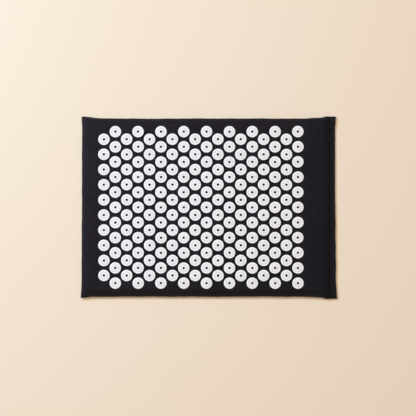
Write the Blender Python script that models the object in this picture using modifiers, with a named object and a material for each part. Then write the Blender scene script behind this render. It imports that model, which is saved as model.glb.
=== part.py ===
"""Acupressure mat: a foam pad in a black cloth cover, with staggered columns of white spiked discs on top.

Metres, +Z up. The origin is on the floor under the middle of the mat, and the cover's mouth is at +X.
The cover is two panels, sewn together along a narrow flange at the left end and both long sides.
At the right end the upper panel carries on as a flap, which hook-and-loop tape holds shut.
"""

import math

import bmesh
import bpy
from mathutils import Vector

# Discs and their pattern
COLUMN_COUNT = 18
DISCS_IN_LONG_COLUMN = 11
DISC_DIAMETER = 0.026
DISC_THICKNESS = 0.0012
DISC_HOLE_DIAMETER = 0.005
SPIKE_HEIGHT = 0.0036
OUTER_RING_DIAMETER = 0.0184
INNER_RING_DIAMETER = 0.0112
RING_BORDER_DIAMETER = 0.0144
GAP_IN_COLUMN = 0.0085
GAP_BETWEEN_COLUMNS = 0.0052
LINK_WIDTH = 0.0008
DISC_SIDES = 10
HOLE_SIDES = 5
FACING_LIMIT = 0.001

# Cloth cover
CLOTH = 0.0008
FLANGE_WIDTH = 0.0025
SEAM_HEIGHT = 0.009
UPPER_ROUND = 0.012
LOWER_ROUND = 0.008
SIDE_MARGIN = 0.0027
LEFT_MARGIN = 0.038
MOUTH_MARGIN = 0.050
SIDE_DRAW_IN = 0.0045
CORNER_RUN = 0.020

# Mouth at the right end
END_SLOPE = 0.010
HEM_WIDTH = 0.014
TAPE_INSET = 0.0015
TAPE_END_INSET = 0.010
TAPE_THICKNESS = 0.0012

# Foam pad and thread
FOAM_THICKNESS = 0.020
FOAM_END_ROUND = 0.006
THREAD = 0.0006

# Gap kept between pieces that lie on each other
CLEARANCE = 0.0003

# Steps of the meshes
ROUND_STEPS = 4
SLOPE_STEPS = 6
FLAT_STEPS_ALONG = 6
FLAT_STEPS_ACROSS = 4
THREAD_STEPS = 12

# Places that follow from the sizes
DISC_RADIUS = DISC_DIAMETER / 2
RIM_RADIUS = DISC_RADIUS * math.sqrt(2 * math.pi / (DISC_SIDES * math.sin(2 * math.pi / DISC_SIDES)))
ROW_PITCH = DISC_DIAMETER + GAP_IN_COLUMN
COLUMN_PITCH = math.sqrt((DISC_DIAMETER + GAP_BETWEEN_COLUMNS) ** 2 - (ROW_PITCH / 2) ** 2)
FIELD_LENGTH = (COLUMN_COUNT - 1) * COLUMN_PITCH + DISC_DIAMETER
FIELD_WIDTH = (DISCS_IN_LONG_COLUMN - 1) * ROW_PITCH + DISC_DIAMETER
COVER_LENGTH = LEFT_MARGIN + FIELD_LENGTH + MOUTH_MARGIN + END_SLOPE + HEM_WIDTH
SIDE_HALF_WIDTH = FIELD_WIDTH / 2 + SIDE_MARGIN + UPPER_ROUND + FLANGE_WIDTH
CORNER_HALF_WIDTH = SIDE_HALF_WIDTH + SIDE_DRAW_IN
LEFT_X = -COVER_LENGTH / 2
RIGHT_X = COVER_LENGTH / 2
HEM_X = RIGHT_X - HEM_WIDTH
FOLD_X = HEM_X - END_SLOPE
FLARE_X = HEM_X - CORNER_RUN
FIRST_COLUMN_X = LEFT_X + LEFT_MARGIN + DISC_RADIUS
LINING = CLOTH + CLEARANCE
FOAM_BOTTOM_Z = LINING
FOAM_TOP_Z = FOAM_BOTTOM_Z + FOAM_THICKNESS
TOP_Z = FOAM_TOP_Z + LINING
HINGE_Z = TOP_Z + CLEARANCE / 2
UPPER_SEAM_Z = SEAM_HEIGHT + CLEARANCE / 2 + CLOTH
LOWER_SEAM_Z = SEAM_HEIGHT - CLEARANCE / 2 - CLOTH
LOOP_TAPE_Z = CLOTH + CLEARANCE
HOOK_TAPE_Z = LOOP_TAPE_Z + TAPE_THICKNESS + CLEARANCE
UPPER_LIP_Z = HOOK_TAPE_Z + TAPE_THICKNESS + CLEARANCE + CLOTH


def ease(share):
    """A smooth step from 0 to 1 as share goes from 0 to 1."""
    share = min(max(share, 0.0), 1.0)
    return share * share * (3 - 2 * share)


def climb(depth, run):
    """The share of its height that a quarter round of this run has reached, depth in from its foot."""
    reach = min(max(depth / run, 0.0), 1.0)
    return math.sqrt(1 - (1 - reach) ** 2)


def upper_fall(x):
    """The share of its height that the upper cloth keeps at x: it rounds down from the fold to the hem."""
    return climb(HEM_X - x, END_SLOPE)


def lower_fall(x):
    """The share of its height that the lower cloth keeps at x: all up to the fold, none from the hem on."""
    return 1 - ease((x - FOLD_X) / END_SLOPE)


def half_width(x):
    """Half of the cover's width at x: the corners stand out, and the stuffed sides draw in between them."""
    from_corner = min(x - LEFT_X, HEM_X - x)
    return CORNER_HALF_WIDTH - SIDE_DRAW_IN * ease(from_corner / CORNER_RUN)


def upper_height(x, y):
    """The outer surface of the upper cloth: flange, round sides, flat top and the slope down to the lip."""
    side = climb(half_width(x) - abs(y) - FLANGE_WIDTH, UPPER_ROUND)
    end = climb(x - LEFT_X - FLANGE_WIDTH, UPPER_ROUND)
    crown = UPPER_SEAM_Z + (TOP_Z - UPPER_SEAM_Z) * side * end
    return UPPER_LIP_Z + (crown - UPPER_LIP_Z) * upper_fall(x)


def lower_height(x, y):
    """The outer surface of the lower cloth, flat on the floor inside its round edges."""
    side = climb(half_width(x) - abs(y) - FLANGE_WIDTH, LOWER_ROUND)
    end = climb(x - LEFT_X - FLANGE_WIDTH, LOWER_ROUND)
    return LOWER_SEAM_Z * (1 - side * end) * lower_fall(x)


def round_depths(run):
    """Distances in from the foot of a quarter round, closest together where it is steep."""
    return [run * (1 - math.cos(math.pi / 2 * step / ROUND_STEPS)) for step in range(ROUND_STEPS + 1)]


def between(start, end, steps):
    """Evenly spaced values after start, up to and with end."""
    return [start + (end - start) * step / steps for step in range(1, steps + 1)]


def rows_across(half, edge_depths):
    """The y of each grid row from one edge to the other, given the depths of the rows near an edge."""
    near = [depth - half for depth in edge_depths]
    flat = between(near[-1], -near[-1], FLAT_STEPS_ACROSS)[:-1]
    return near + flat + [-y for y in reversed(near)]


def flange_depths(run):
    """Depths of the rows that make the flange and the quarter round inside it."""
    return [0.0] + [FLANGE_WIDTH + depth for depth in round_depths(run)]


def left_stations(run):
    """The x of each grid column from the left edge over the round, to where the corner's curve ends."""
    return [LEFT_X + depth for depth in flange_depths(run)] + [LEFT_X + CORNER_RUN]


def slope_stations(start):
    """The x of each grid column from start, by the fold, down the round end and across the hem."""
    turns = [math.pi / 2 * step / SLOPE_STEPS for step in range(1, SLOPE_STEPS + 1)]
    return [start] + [FOLD_X + END_SLOPE * math.sin(turn) for turn in turns] + [RIGHT_X]


def clear_scene():
    for leftover in list(bpy.data.objects):
        bpy.data.objects.remove(leftover, do_unlink=True)


def make_material(name, colour, roughness, sheen=0.0):
    material = bpy.data.materials.new(name)
    material.use_nodes = True
    shader = material.node_tree.nodes["Principled BSDF"]
    shader.inputs["Base Color"].default_value = (*colour, 1.0)
    shader.inputs["Roughness"].default_value = roughness
    shader.inputs["Metallic"].default_value = 0.0
    shader.inputs["Sheen Weight"].default_value = sheen
    material.diffuse_color = (*colour, 1.0)
    return material


def add_object(name, data, material, parent, location=(0.0, 0.0, 0.0)):
    """A new object in the mat's collection, placed in world coordinates under its parent."""
    thing = bpy.data.objects.new(name, data)
    bpy.data.collections["acupressure_mat"].objects.link(thing)
    data.materials.append(material)
    thing.parent = parent
    thing.location = Vector(location) - parent.location
    return thing


def mesh_from(name, bm):
    """A mesh of this bmesh, shaded smooth but for its sharp edges."""
    mesh = bpy.data.meshes.new(name)
    bmesh.ops.recalc_face_normals(bm, faces=bm.faces)
    bm.to_mesh(mesh)
    bm.free()
    mesh.shade_smooth()
    mesh.set_sharp_from_angle(angle=math.radians(40))
    return mesh


def add_sheet(bm, stations, rows_at, height):
    """A grid over the stations along x, with rows_at(x) across and height(x, y) for its z."""
    columns = len(stations)
    rows = len(rows_at(stations[0]))
    made = bmesh.ops.create_grid(bm, x_segments=columns - 1, y_segments=rows - 1, size=1.0)
    for vertex in made["verts"]:
        column = round((vertex.co.x + 1) / 2 * (columns - 1))
        row = round((vertex.co.y + 1) / 2 * (rows - 1))
        x = stations[column]
        y = rows_at(x)[row]
        vertex.co = (x, y, height(x, y))
    return made["verts"]


def build_cloth(name, stations, run, height, material, parent, outer_up):
    """One panel of cloth: its outer surface as a grid, with the thickness added on the inside."""
    bm = bmesh.new()
    add_sheet(bm, stations, lambda x: rows_across(half_width(x), flange_depths(run)), height)
    bmesh.ops.translate(bm, vec=-parent.location, verts=bm.verts)
    mesh = mesh_from(name, bm)
    if (mesh.polygons[0].normal.z > 0) != outer_up:
        mesh.flip_normals()
    panel = add_object(name, mesh, material, parent, parent.location)
    solidify = panel.modifiers.new("cloth", "SOLIDIFY")
    solidify.thickness = CLOTH
    solidify.offset = -1.0
    solidify.use_even_offset = True
    return panel


def build_foam(material, parent):
    """The foam pad: an upper and a lower surface inside the cloth, joined round their edge."""
    left = LEFT_X + FLANGE_WIDTH + LINING
    right = FOLD_X
    side_inset = FLANGE_WIDTH + LINING

    def lift(x, y, run):
        side = climb(half_width(x) - side_inset - abs(y), run - LINING)
        near_end = climb(x - left, run - LINING)
        far_end = climb(right - x, FOAM_END_ROUND)
        return side * near_end * far_end

    def upper(x, y):
        return UPPER_SEAM_Z + (FOAM_TOP_Z - UPPER_SEAM_Z) * lift(x, y, UPPER_ROUND)

    def lower(x, y):
        return LOWER_SEAM_Z - (LOWER_SEAM_Z - FOAM_BOTTOM_Z) * lift(x, y, LOWER_ROUND)

    def foam_rows(run):
        return lambda x: rows_across(half_width(x) - side_inset, round_depths(run - LINING))

    def foam_stations(run):
        near = [left + depth for depth in round_depths(run - LINING)] + [LEFT_X + CORNER_RUN]
        far = [right - depth for depth in round_depths(FOAM_END_ROUND)]
        return near + between(near[-1], FLARE_X, FLAT_STEPS_ALONG) + far[::-1]

    bm = bmesh.new()
    add_sheet(bm, foam_stations(UPPER_ROUND), foam_rows(UPPER_ROUND), upper)
    add_sheet(bm, foam_stations(LOWER_ROUND), foam_rows(LOWER_ROUND), lower)
    rims = [edge for edge in bm.edges if edge.is_boundary]
    bmesh.ops.bridge_loops(bm, edges=rims)
    return add_object("foam_pad", mesh_from("foam_pad", bm), material, parent)


def on_ring(place, diameter, sides, first=0.0):
    """The corner of a ring of this many sides that lies nearest, with its first corner turned from +Y."""
    step = 2 * math.pi / sides
    turn = first + step * round((math.atan2(place.x, place.y) - first) / step)
    return Vector((diameter / 2 * math.sin(turn), diameter / 2 * math.cos(turn), place.z))


def carry_on(bm, loop, place):
    """Extrudes a loop of edges to new places, joins the corners that meet there and returns the new loop."""
    before = set(bm.verts)
    made = bmesh.ops.extrude_edge_only(bm, edges=loop)["geom"]
    corners = [part for part in made if isinstance(part, bmesh.types.BMVert)]
    for corner in corners:
        corner.co = place(corner.co)
    bmesh.ops.remove_doubles(bm, verts=corners, dist=CLEARANCE)
    return [edge for edge in bm.edges if not before & set(edge.verts)]


def raise_spikes(bm, border):
    """Makes a spike of each four-cornered cell beside the border, with its tip on the middle of its ring."""
    corners = {corner for edge in border for corner in edge.verts}
    for cell in [face for face in bm.faces if len(face.verts) == 4 and len(corners & set(face.verts)) == 2]:
        outside = 2 * cell.calc_center_median().xy.length > RING_BORDER_DIAMETER
        towards = sum((corner.co.xy for corner in cell.verts if corner in corners), Vector((0.0, 0.0)))
        tip = bmesh.ops.poke(bm, faces=[cell], offset=SPIKE_HEIGHT)["verts"][0]
        tip.co.xy = towards.normalized() * (OUTER_RING_DIAMETER if outside else INNER_RING_DIAMETER) / 2


def add_disc(bm):
    """One disc standing on z = 0: a plate with a central hole and two rings of spikes.

    The rim covers as much as the round disc. It has a vertex at each end of the column's line, and
    cutting those two off leaves the narrow sides where the disc's neighbours join on.
    """
    rim = bmesh.ops.create_circle(bm, segments=DISC_SIDES, radius=RIM_RADIUS)["verts"]
    ends = [vertex for vertex in rim if abs(vertex.co.y) > RIM_RADIUS - CLEARANCE]
    bmesh.ops.bevel(bm, geom=ends, offset=LINK_WIDTH / 2, affect="VERTICES")
    outline = list(bm.edges)
    rise = Vector((0.0, 0.0, DISC_THICKNESS))
    upper_rim = carry_on(bm, outline, lambda place: place + rise)
    border = carry_on(bm, upper_rim, lambda place: on_ring(place, RING_BORDER_DIAMETER, DISC_SIDES))
    first = math.pi / DISC_SIDES
    upper_hole = carry_on(bm, border, lambda place: on_ring(place, DISC_HOLE_DIAMETER, HOLE_SIDES, first))
    lower_hole = carry_on(bm, upper_hole, lambda place: place - rise)
    bmesh.ops.triangle_fill(bm, edges=outline + lower_hole, use_beauty=True)
    bmesh.ops.recalc_face_normals(bm, faces=bm.faces)
    raise_spikes(bm, border)


def link_sides(bm, near_y, far_y):
    """Joins the two narrow sides that face each other across the gap between these two places."""
    facing = [
        face for face in bm.faces
        if abs(abs(face.normal.y) - 1.0) < FACING_LIMIT and near_y < face.calc_center_median().y < far_y
    ]
    outline = [edge for face in facing for edge in face.edges]
    bmesh.ops.delete(bm, geom=facing, context="FACES_ONLY")
    bmesh.ops.bridge_loops(bm, edges=outline)


def column_mesh(count):
    """A column of discs across the mat, centred on its middle, as one body with thin links."""
    bm = bmesh.new()
    add_disc(bm)
    first = list(bm.verts) + list(bm.edges) + list(bm.faces)
    first_y = -(count - 1) * ROW_PITCH / 2
    for step in range(1, count):
        copied = bmesh.ops.duplicate(bm, geom=first)["geom"]
        corners = [part for part in copied if isinstance(part, bmesh.types.BMVert)]
        bmesh.ops.translate(bm, vec=(0.0, step * ROW_PITCH, 0.0), verts=corners)
    for step in range(count - 1):
        link_sides(bm, step * ROW_PITCH, (step + 1) * ROW_PITCH)
    bmesh.ops.translate(bm, vec=(0.0, first_y, 0.0), verts=bm.verts)
    bmesh.ops.recalc_face_normals(bm, faces=bm.faces)
    mesh = bpy.data.meshes.new(f"column_of_{count}")
    bm.to_mesh(mesh)
    bm.free()
    return mesh


def build_disc_columns(material, parent):
    """Short and long columns take turns, so that the discs of one stand between those of the next."""
    short_column = column_mesh(DISCS_IN_LONG_COLUMN - 1)
    long_column = column_mesh(DISCS_IN_LONG_COLUMN)
    for mesh in (short_column, long_column):
        mesh.materials.append(material)
    for column in range(COLUMN_COUNT):
        mesh = long_column if column % 2 == 1 else short_column
        discs = bpy.data.objects.new(f"disc_column_{column + 1:02d}", mesh)
        bpy.data.collections["acupressure_mat"].objects.link(discs)
        discs.parent = parent
        discs.location = (FIRST_COLUMN_X + column * COLUMN_PITCH, 0.0, TOP_Z + CLEARANCE)


def build_tape(name, bottom_z, material, parent):
    """A strip of hook or loop tape across the mouth, inside the hem."""
    width = HEM_WIDTH - 2 * TAPE_INSET
    length = 2 * (CORNER_HALF_WIDTH - TAPE_END_INSET)
    bm = bmesh.new()
    bmesh.ops.create_cube(bm, size=1.0)
    bmesh.ops.scale(bm, vec=(width, length, TAPE_THICKNESS), verts=bm.verts)
    mesh = bpy.data.meshes.new(name)
    bm.to_mesh(mesh)
    bm.free()
    centre = (HEM_X + HEM_WIDTH / 2, 0.0, bottom_z + TAPE_THICKNESS / 2)
    return add_object(name, mesh, material, parent, centre)


def build_thread(name, points, material, parent):
    """A line of sewing thread through these points, which are in world coordinates."""
    curve = bpy.data.curves.new(name, "CURVE")
    curve.dimensions = "3D"
    curve.bevel_depth = THREAD / 2
    curve.bevel_resolution = 1
    curve.use_fill_caps = True
    spline = curve.splines.new("POLY")
    spline.points.add(len(points) - 1)
    for target, point in zip(spline.points, points):
        target.co = (*(Vector(point) - parent.location), 1.0)
    return add_object(name, curve, material, parent, parent.location)


def seam_line():
    """The line of stitches on the flange, from the fold along one side, the left end and the other side."""
    z = UPPER_SEAM_Z + CLEARANCE + THREAD / 2
    inset = FLANGE_WIDTH / 2
    start = FOLD_X - FLANGE_WIDTH
    corner = LEFT_X + inset
    along = [start] + between(start, LEFT_X + CORNER_RUN, THREAD_STEPS // 3)
    along += between(along[-1], corner, THREAD_STEPS)
    front = [(x, inset - half_width(x), z) for x in along]
    return front + [(x, -y, z) for x, y, z in reversed(front)]


def hem_line():
    """The straight line of stitches that closes the flap's hem."""
    x = HEM_X + THREAD
    z = UPPER_LIP_Z + CLEARANCE + THREAD / 2
    end = CORNER_HALF_WIDTH - FLANGE_WIDTH
    return [(x, -end, z), (x, end, z)]


def add_body(name, location=(0.0, 0.0, 0.0)):
    """An empty that carries one rigid body's pieces."""
    body = bpy.data.objects.new(name, None)
    bpy.data.collections["acupressure_mat"].objects.link(body)
    body.location = location
    return body


def main():
    clear_scene()
    collection = bpy.data.collections.new("acupressure_mat")
    bpy.context.scene.collection.children.link(collection)

    black_cloth = make_material("black_cloth", (0.012, 0.012, 0.015), 0.9, sheen=0.3)
    white_plastic = make_material("white_plastic", (0.86, 0.86, 0.88), 0.35)
    foam = make_material("foam", (0.80, 0.76, 0.62), 0.95)
    tape = make_material("closure_tape", (0.015, 0.015, 0.017), 0.8)
    thread = make_material("thread", (0.02, 0.02, 0.023), 0.7)

    mat = add_body("mat_body")
    flap = add_body("flap_body", (FOLD_X, 0.0, HINGE_Z))

    flat = between(LEFT_X + CORNER_RUN, FLARE_X, FLAT_STEPS_ALONG)
    upper = left_stations(UPPER_ROUND) + flat + [FOLD_X]
    lower = left_stations(LOWER_ROUND) + flat + slope_stations(FOLD_X)
    build_cloth("top_panel", upper, UPPER_ROUND, upper_height, black_cloth, mat, True)
    build_cloth("bottom_panel", lower, LOWER_ROUND, lower_height, black_cloth, mat, False)
    build_cloth(
        "mouth_flap", slope_stations(FOLD_X + CLEARANCE), UPPER_ROUND, upper_height, black_cloth, flap, True
    )
    build_foam(foam, mat)
    build_disc_columns(white_plastic, mat)
    build_tape("loop_tape", LOOP_TAPE_Z, tape, mat)
    build_tape("hook_tape", HOOK_TAPE_Z, tape, flap)
    build_thread("seam_thread", seam_line(), thread, mat)
    build_thread("hem_thread", hem_line(), thread, flap)


main()
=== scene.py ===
"""Dresses the acupressure mat: stretched canvas, moulded spike discs, foam, tapes and stitches."""

import math

import bmesh
import bpy
import numpy as np
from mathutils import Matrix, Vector


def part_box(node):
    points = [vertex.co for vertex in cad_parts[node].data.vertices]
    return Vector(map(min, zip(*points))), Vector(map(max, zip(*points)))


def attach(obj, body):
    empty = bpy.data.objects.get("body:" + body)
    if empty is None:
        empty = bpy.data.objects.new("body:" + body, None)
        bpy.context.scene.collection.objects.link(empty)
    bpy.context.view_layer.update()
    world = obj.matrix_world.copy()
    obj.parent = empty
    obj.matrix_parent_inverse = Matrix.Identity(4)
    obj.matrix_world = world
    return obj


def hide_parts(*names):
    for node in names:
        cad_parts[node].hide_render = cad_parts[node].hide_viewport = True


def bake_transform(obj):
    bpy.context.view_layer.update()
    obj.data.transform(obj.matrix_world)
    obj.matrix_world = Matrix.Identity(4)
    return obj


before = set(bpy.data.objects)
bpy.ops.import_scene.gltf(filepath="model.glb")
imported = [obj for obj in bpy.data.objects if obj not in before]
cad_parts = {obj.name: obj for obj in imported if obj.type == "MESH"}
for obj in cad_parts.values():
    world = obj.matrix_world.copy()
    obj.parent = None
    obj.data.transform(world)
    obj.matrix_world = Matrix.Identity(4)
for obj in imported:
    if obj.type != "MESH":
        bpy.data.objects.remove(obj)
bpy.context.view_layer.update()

MM = 0.001

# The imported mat
LEFT_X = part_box("top_panel")[0].x
FOLD_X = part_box("top_panel")[1].x
RIGHT_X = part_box("mouth_flap")[1].x
TOP_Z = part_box("top_panel")[1].z
CORNER_HALF_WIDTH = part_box("bottom_panel")[1].y
DISC_COLUMNS = sorted(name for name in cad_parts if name.startswith("disc_column_"))
COLUMN_XS = [(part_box(name)[0].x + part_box(name)[1].x) / 2 for name in DISC_COLUMNS]
DISCS_BY_TURNS = (10, 11)
ROW_PITCH = 34.5 * MM

# The cover's shape
CLOTH = 0.8 * MM
FLANGE = 2.5 * MM
FLANGE_DEPTHS = np.array([0.0, 0.7, 1.25, 1.8]) * MM
UPPER_SEAM_Z = 9.95 * MM
LOWER_SEAM_Z = 8.05 * MM
UPPER_ROUND = 12 * MM
LOWER_ROUND = 8 * MM
SIDE_HALF_WIDTH = CORNER_HALF_WIDTH - 4.5 * MM
HEM_WIDTH = 14 * MM
HEM_X = RIGHT_X - HEM_WIDTH
HEM_TOP_Z = 5.8 * MM
HEM_ROUND = 0.85 * MM
HEM_STITCHES_X = HEM_X + 1.9 * MM
TURNED_EDGE_X = HEM_X + 2.5 * MM
TUCK_DEPTH = 4.0 * MM
TUCK_WIDTH = 0.9 * MM
RISE_SHARES = (0.12, 0.35, 0.65, 1.0)
SLOPE_END_X = HEM_X - TUCK_WIDTH
END_ROUND = 15 * MM

# Cell sizes and numbers of rows, of the upper cloth up to its turned edge and then of the lower cloth
UPPER_CELL = 3 * MM
FOLD_CELL = 0.75 * MM
SLOPE_ROWS = 14
GROOVE_CELL = 0.3 * MM
HEM_CELL = 2 * MM
HEM_TURN_ROWS = 6
TURNED_CELL = 2.5 * MM
LOWER_CELL = 6 * MM
LOWER_SLOPE_CELL = 1 * MM
LIP_CELL = 3 * MM

# How far the cover's edges stand out; a pair holds the values of the near (-Y) and the far (+Y) side
SIDE_OUT = (0.85 * MM, 0.0)
LEFT_EAR = (3.2 * MM, 4.5 * MM)
LEFT_EAR_LENGTH = (22 * MM, 44 * MM)
LEFT_EAR_START = 4 * MM
MOUTH_FLARE = (1.5 * MM, 1.9 * MM)
MOUTH_FLARE_START = -80 * MM
MOUTH_FLARE_LENGTH = 60 * MM
HEM_EAR = (3.4 * MM, 2.6 * MM)
HEM_EAR_START = -19 * MM
HEM_EAR_LENGTH = 11 * MM
WORN_TIP = 0.9 * MM
WORN_TIP_START = 6 * MM
WORN_TIP_LENGTH = 8 * MM

# How the cover is worn; a skew is in metres of x for each metre of y
EDGE_REACH = 30 * MM
EDGE_OUT, EDGE_SWAY, EDGE_RIPPLE = 0.15 * MM, 0.3 * MM, 0.15 * MM
CORNER_START = 0.8 * SIDE_HALF_WIDTH
CORNER_LENGTH = 0.25 * SIDE_HALF_WIDTH
LEFT_OUT, LEFT_SKEW, LEFT_SWAY = -0.25 * MM, -3.7 * MM, 0.25 * MM
LEFT_CORNER_OUT = (2.1 * MM, 1.2 * MM)
RIGHT_OUT, RIGHT_SKEW, RIGHT_SWAY = -1.3 * MM, -10.0 * MM, 0.4 * MM
RIGHT_CORNER_OUT = (2.6 * MM, 3.1 * MM)
PUCKER = 0.28 * MM
PUCKER_START, PUCKER_LENGTH = 4 * MM, 16 * MM
PUCKER_END_LENGTH = 50 * MM

# How the upper cloth swells over its foam
SWELL_FRAMES = 18
SWELL_PRESSURE = 6.0
SWELL_QUALITY = 4
POINT_MASS = 0.003
SLACK = 0.012
MOST_OUT = 1.4 * MM
MOST_IN = 0.25 * MM
MOST_ASIDE = 0.6 * MM
FREE_FROM_DISC = 1.5 * MM
FREE_FROM_SEAM = 3 * MM
FREE_FROM_MOUTH = 20 * MM

# Discs; a profile is in millimetres from the middle line and above the cloth
DISC_RADIUS = 13 * MM
DISC_SEGMENTS = 40
DISC_PROFILE = (
    (12.6, 0.0), (12.93, 0.25), (13.0, 0.75), (12.9, 1.3), (12.55, 1.62), (12.1, 1.72),
    (11.2, 1.72), (10.85, 1.6), (10.55, 0.9), (10.3, 0.75), (5.0, 0.75), (4.8, 0.95),
    (4.65, 1.75), (4.4, 1.95), (3.4, 1.95), (3.05, 1.85), (2.85, 1.5), (2.85, 0.0),
)
# Heights above the cloth between which the discs' plastic is darkened as painted shade, down into the sunken
# ring
SUNKEN_Z = 0.8 * MM
RIM_Z = 1.6 * MM
SPIKE_RINGS = (
    {"count": 10, "radius": 9.2, "first": 0.0},
    {"count": 10, "radius": 7.55, "first": 18.0},
    {"count": 5, "radius": 5.75, "first": 36.0},
)
SPIKE_PROFILE = ((1.25, 0.65), (0.82, 2.3), (0.18, 4.9))
SPIKE_TIP = 5.08
SPIKE_SIDES = 8
MOST_SHIFT = 0.22 * MM
TURN_SPREAD = math.radians(2.5)
MOST_TILT = math.radians(0.35)

# The spot of painted shade in each disc's hole: a near-black disc that stands in for the shade there
SPOT_RADIUS = 2.9 * MM
SPOT_HEIGHT = 0.25 * MM
SPOT_SIDES = 16

# The foam inside the cover
FOAM_INSET = FLANGE + CLOTH + 0.5 * MM
FOAM_BOTTOM_Z = 1.2 * MM
FOAM_TOP_Z = TOP_Z - CLOTH - 0.6 * MM
FOAM_MIDDLE_Z = (UPPER_SEAM_Z + LOWER_SEAM_Z) / 2
FOAM_ROUND = 10 * MM
FOAM_END_ROUND = 6 * MM
FOAM_CELL = 9 * MM
FOAM_ROWS = 41
FOAM_DENT = 0.12 * MM

# Tapes; the rise of a ribbon is the share of its thickness across its width
RIBBON_THICKNESS = 0.5 * MM
RIBBON_WIDTH_SHARES = np.array([0, 0.03, 0.10, 0.14, 0.3, 0.5, 0.7, 0.86, 0.90, 0.97, 1.0])
RIBBON_RISE_SHARES = np.array([0.35, 0.9, 1.0, 0.78, 0.74, 0.72, 0.74, 0.78, 1.0, 0.9, 0.35])
RIBBON_STEP = 4 * MM
RIBBON_SWAY = 0.12 * MM
FILAMENT_COLUMNS = 5
FILAMENT_MARGIN = 2 * MM
FILAMENT_PITCH = 1.9 * MM
FILAMENT_STAGGER = 0.4 * MM
MOST_FILAMENT_SHIFT = 0.12 * MM
HOOK_ROOT = 0.1 * MM
LOOP_ROOT = 0.2 * MM
HOOK_TURN_SPREAD = 0.25
LOOP_HEIGHTS = (0.75, 1.0)

# A hook and a loop: millimetres aside, and the share of the height
HOOK_RADIUS = 0.1 * MM
HOOK_BEND = ((0.0, 0.0), (0.0, 0.45), (0.06, 0.8), (0.25, 0.98), (0.45, 0.9), (0.5, 0.66))
LOOP_RADIUS = 0.05 * MM
LOOP_BEND = ((-0.35, 0.0), (-0.5, 0.45), (-0.3, 0.85), (0.0, 1.0), (0.3, 0.85), (0.5, 0.45), (0.35, 0.0))

# Stitches; the three lists run along one stitch
STITCH_PITCH = 4.3 * MM
STITCH_LENGTH = 3.5 * MM
STITCH_SHARES = np.array([0.0, 0.08, 0.3, 0.5, 0.7, 0.92, 1.0])
STITCH_HEIGHTS = np.array([-0.35, -0.08, 0.1, 0.14, 0.1, -0.08, -0.35]) * MM
STITCH_RADII = np.array([0.16, 0.26, 0.3, 0.3, 0.3, 0.26, 0.16]) * MM
STITCH_STRETCH = (0.96, 1.03)
MOST_STITCH_SHIFT = 0.06 * MM
STITCH_INSET = 1.25 * MM
STITCH_PATH_STEP = 0.7 * MM
SEAM_END_X = FOLD_X - 2.5 * MM
HEM_STITCHES_REACH = SIDE_HALF_WIDTH - 1 * MM

# The look of woven cloth; places along the cover are in metres over the cloth from its left edge
THREAD_FALL = 3.2
THREAD_DIP = 0.4
CANVAS_PITCH = 0.9 * MM
WEAVE_WANDER = 0.6 * MM
TAPE_PITCH = 0.5 * MM
# Where the painted bluish light towards the mouth end ramps in, and where the painted light on the hem begins
MOUTH_ALONG = (0.49, 0.565)
HEM_ALONG = (0.5885, 0.5895)

# Colours
BLACK = (0.0, 0.0, 0.0)
CANVAS_DYE = (0.0169, 0.0140, 0.0212)
# Painted light: a bluer canvas colour towards the mouth end, in place of the bluish key lamp's light that
# reaches that end less
MOUTH_PAINTED_LIGHT = (0.0162, 0.0163, 0.0276)
WHITE_PLASTIC = (0.925, 0.943, 0.985)
FLOOR_DARK = (0.825, 0.718, 0.578)
FLOOR_LIGHT = (0.845, 0.736, 0.595)
WARM_LIGHT = (1.0, 0.826, 0.633)
BLUE_LIGHT = (0.46, 0.69, 1.0)
STUDIO_CREAM = (0.85, 0.76, 0.63)

# The photograph's view from above
FRAME_WIDTH = 0.9489
CAMERA_HEIGHT = 6.0
VIEWED_Z = 15 * MM
CAMERA_X, CAMERA_Y = -1.8 * MM, -1.4 * MM
SENSOR_WIDTH = 36.0
FLOOR_REACH = 30.0
FLOOR_Z = -0.02 * MM


# Shapes

def ease(share):
    """A smooth step from 0 to 1."""
    share = np.clip(share, 0.0, 1.0)
    return share * share * (3 - 2 * share)


def climb(depth, run):
    """A quarter round that rises from 0 to 1 over this run."""
    reach = np.clip(depth / run, 0.0, 1.0)
    return np.sqrt(1 - (1 - reach) ** 2)


def waves(along, lengths, seed):
    """An uneven wave between about -1 and 1, from sines of these wavelengths."""
    phases = np.random.default_rng(seed).uniform(0, 2 * math.pi, len(lengths))
    total = sum(np.sin(2 * math.pi * along / length + phase) for length, phase in zip(lengths, phases))
    return total / math.sqrt(len(lengths))


def by_side(pair, far):
    """The pair's first value on the near side of the mat, and its second on the far side."""
    near_value, far_value = pair
    return np.where(far, far_value, near_value)


def half_width(x, side):
    """Half of the cover's width at x, on the +Y side or the -Y side: the corners stand out unevenly."""
    far = side > 0
    from_left = x - LEFT_X
    from_hem = x - HEM_X
    left_fall = ease((from_left - LEFT_EAR_START) / by_side(LEFT_EAR_LENGTH, far))
    left_ear = by_side(LEFT_EAR, far) * (1 - left_fall)
    flare = by_side(MOUTH_FLARE, far) * ease((from_hem - MOUTH_FLARE_START) / MOUTH_FLARE_LENGTH)
    hem_ear = by_side(HEM_EAR, far) * ease((from_hem - HEM_EAR_START) / HEM_EAR_LENGTH)
    tip = WORN_TIP * ease((from_hem - WORN_TIP_START) / WORN_TIP_LENGTH)
    return SIDE_HALF_WIDTH + by_side(SIDE_OUT, far) + left_ear + flare + hem_ear - tip


def edge_depth(x, y):
    """How far a point lies inside the cover's nearer long side."""
    return half_width(x, np.sign(y)) - np.abs(y)


def upper_height(x, y):
    """The outer surface of the upper cloth, which rounds down from the fold to the hem."""
    side = climb(edge_depth(x, y) - FLANGE, UPPER_ROUND)
    end = climb(x - LEFT_X - FLANGE, UPPER_ROUND)
    crown = UPPER_SEAM_Z + (TOP_Z - UPPER_SEAM_Z) * side * end
    tuck = TUCK_DEPTH * ease((x - SLOPE_END_X + 2 * TUCK_WIDTH) / (2 * TUCK_WIDTH))
    return HEM_TOP_Z + (crown - HEM_TOP_Z) * climb(SLOPE_END_X - x, END_ROUND) - tuck


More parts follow.
